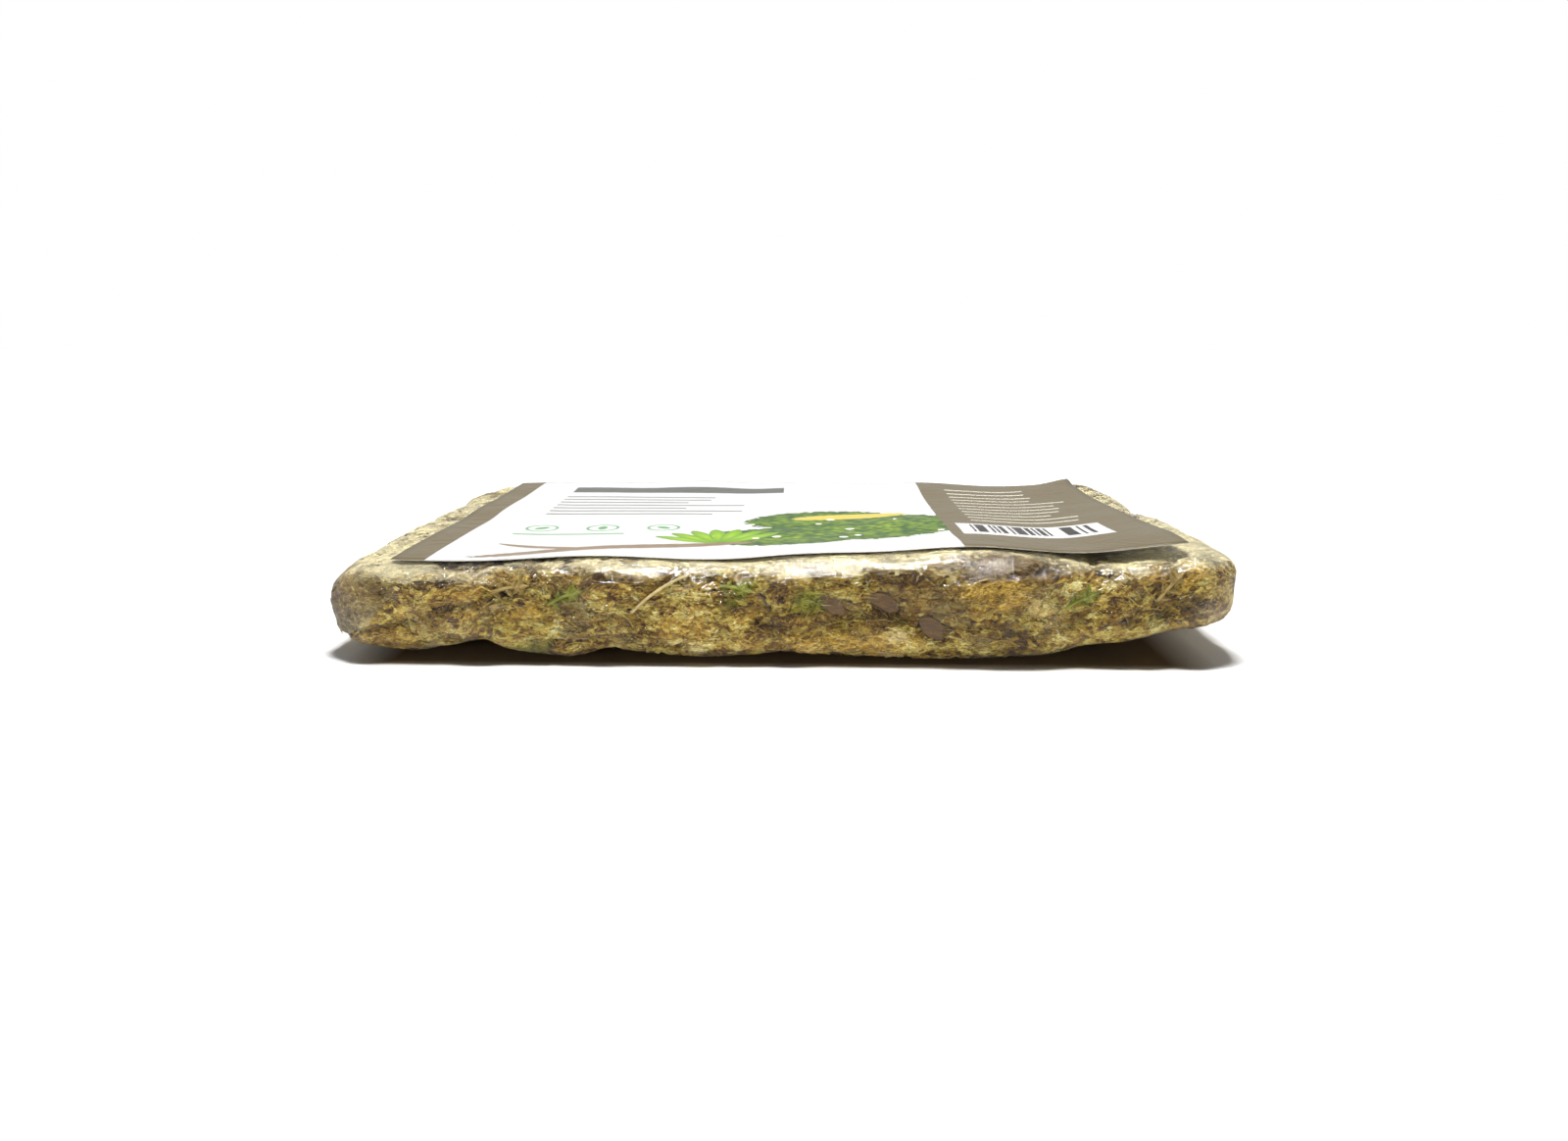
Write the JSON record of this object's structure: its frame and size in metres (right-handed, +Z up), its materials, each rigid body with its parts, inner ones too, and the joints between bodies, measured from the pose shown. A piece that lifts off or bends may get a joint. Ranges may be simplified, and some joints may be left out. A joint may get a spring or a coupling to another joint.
{
  "type": "pressed sphagnum moss brick",
  "caption": "Flat pressed slab of dried sphagnum moss in tight clear shrink film, with bits of straw, twig and leaf showing through and a printed label sheet on top.",
  "frame": {"origin": "middle of the bounding box's base, on the surface that the slab rests on", "axes": "+X along the slab's length, +Y from the front edge to the back edge, +Z up, out of the label"},
  "size_m": [0.2212, 0.15, 0.0287],
  "materials": {
    "pale_moss": "matte, dried and fibrous",
    "green_moss": "matte, dried green shoots",
    "golden_moss": "matte, dried golden shoots",
    "straw": "dry, slightly glossy grass stem",
    "twig_bark": "dull dark bark",
    "brown_leaf": "matte, dry brown leaf scrap",
    "clear_film": "clear glossy shrink film",
    "printed_label": "smooth printed sheet, satin"
  },
  "bodies": {
    "root": {"moss_slab": "pale_moss", "straw_stalk_1": "straw", "straw_stalk_2": "straw", "straw_stalk_3": "straw", "straw_stalk_4": "straw", "twig_1": "twig_bark", "twig_2": "twig_bark", "twig_3": "twig_bark", "brown_flake_1": "brown_leaf", "brown_flake_2": "brown_leaf", "brown_flake_3": "brown_leaf", "brown_flake_4": "brown_leaf", "brown_flake_5": "brown_leaf", "green_sprig_1": "green_moss", "green_sprig_2": "green_moss", "green_sprig_3": "green_moss", "green_sprig_4": "green_moss", "green_sprig_5": "green_moss", "golden_sprig_1": "golden_moss", "golden_sprig_2": "golden_moss", "golden_sprig_3": "golden_moss", "film_wrap": "clear_film", "label": "printed_label"}
  },
  "joints": []
}
